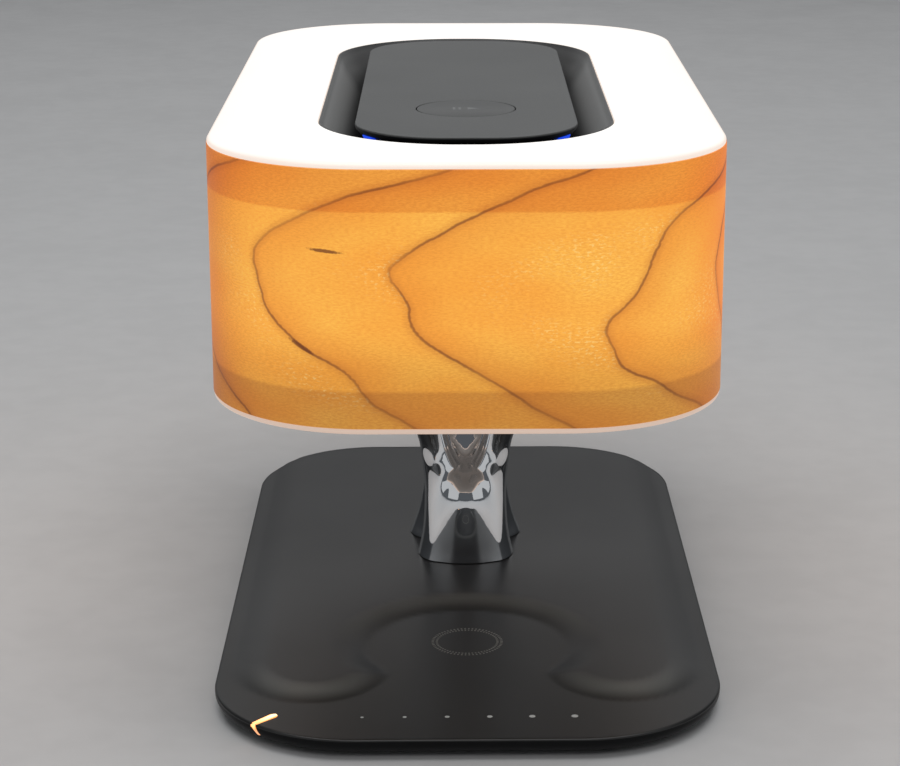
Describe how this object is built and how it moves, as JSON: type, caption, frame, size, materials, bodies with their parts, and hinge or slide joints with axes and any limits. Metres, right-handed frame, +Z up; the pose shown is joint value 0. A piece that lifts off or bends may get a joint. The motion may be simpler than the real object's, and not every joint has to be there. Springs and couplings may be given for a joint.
{
  "type": "table lamp with wireless charging base",
  "caption": "Wood veneer table lamp on a chrome tree trunk, with a wireless phone charging pad as its base and a speaker in its top.",
  "frame": {"origin": "on the floor under the middle of the base and shade", "axes": "+X to the right, +Y to the back, along the base and shade, +Z up; the charging bay is at -Y"},
  "size_m": [0.178, 0.3242, 0.2034],
  "materials": {
    "base_shell": "fine matte soft-touch texture",
    "steel": "zinc plated",
    "rubber": "matte",
    "copper": "enamelled wire",
    "ferrite": "matte",
    "circuit_board": "solder mask",
    "light_pin": "clear light guide",
    "amber_light": "lit light guide",
    "blue_light": "lit light guide",
    "chrome": "polished",
    "opal": "opal white, lit from inside",
    "veneer": "thin sanded veneer, lit from behind",
    "liner": "translucent film",
    "aluminium": "mill finish",
    "led_white": "white solder mask",
    "graphite": "fine satin",
    "black_plastic": "satin",
    "cable": "matte",
    "cone_paper": "pressed paper"
  },
  "bodies": {
    "lamp": {"base_top_shell": "base_shell", "base_bottom_plate": "steel", "base_screw_1": "steel", "base_screw_2": "steel", "base_screw_3": "steel", "base_screw_4": "steel", "power_inlet": "steel", "trunk_screw_front": "steel", "trunk_screw_rear": "steel", "frame_screw_right": "steel", "frame_screw_left": "steel", "speaker_magnet": "steel", "button_switch": "steel", "foot_front_left": "rubber", "foot_front_right": "rubber", "foot_rear_left": "rubber", "foot_rear_right": "rubber", "speaker_surround": "rubber", "charging_coil": "copper", "coil_shield": "ferrite", "base_circuit_board": "circuit_board", "touch_board": "circuit_board", "control_board": "circuit_board", "dimmer_light_1": "light_pin", "dimmer_light_2": "light_pin", "dimmer_light_3": "light_pin", "dimmer_light_4": "light_pin", "dimmer_light_5": "light_pin", "dimmer_light_6": "light_pin", "charge_light_guide": "amber_light", "blue_light_guide_left": "blue_light", "blue_light_guide_right": "blue_light", "trunk": "chrome", "lower_diffuser": "opal", "upper_diffuser": "opal", "veneer_band": "veneer", "inner_liner": "liner", "shade_frame": "aluminium", "led_board_left": "led_white", "led_board_right": "led_white", "speaker_top_plate": "graphite", "recess_tray": "black_plastic", "speaker_enclosure": "black_plastic", "speaker_basket": "black_plastic", "plate_standoff_1": "black_plastic", "plate_standoff_2": "black_plastic", "plate_standoff_3": "black_plastic", "plate_standoff_4": "black_plastic", "wire_harness": "cable"},
    "play_button": {"play_button": "graphite"},
    "speaker_cone": {"speaker_cone": "cone_paper", "speaker_dust_cap": "cone_paper"}
  },
  "joints": [
    {"name": "play_button_press", "type": "slide", "parent": "lamp", "child": "play_button", "axis": [0, 0, -1], "range_m": [0, 0.0007], "stiffness_N_per_m": 800},
    {"name": "speaker_cone_travel", "type": "slide", "parent": "lamp", "child": "speaker_cone", "axis": [0, 0, 1], "range_m": [-0.001, 0.001], "stiffness_N_per_m": 1500}
  ]
}
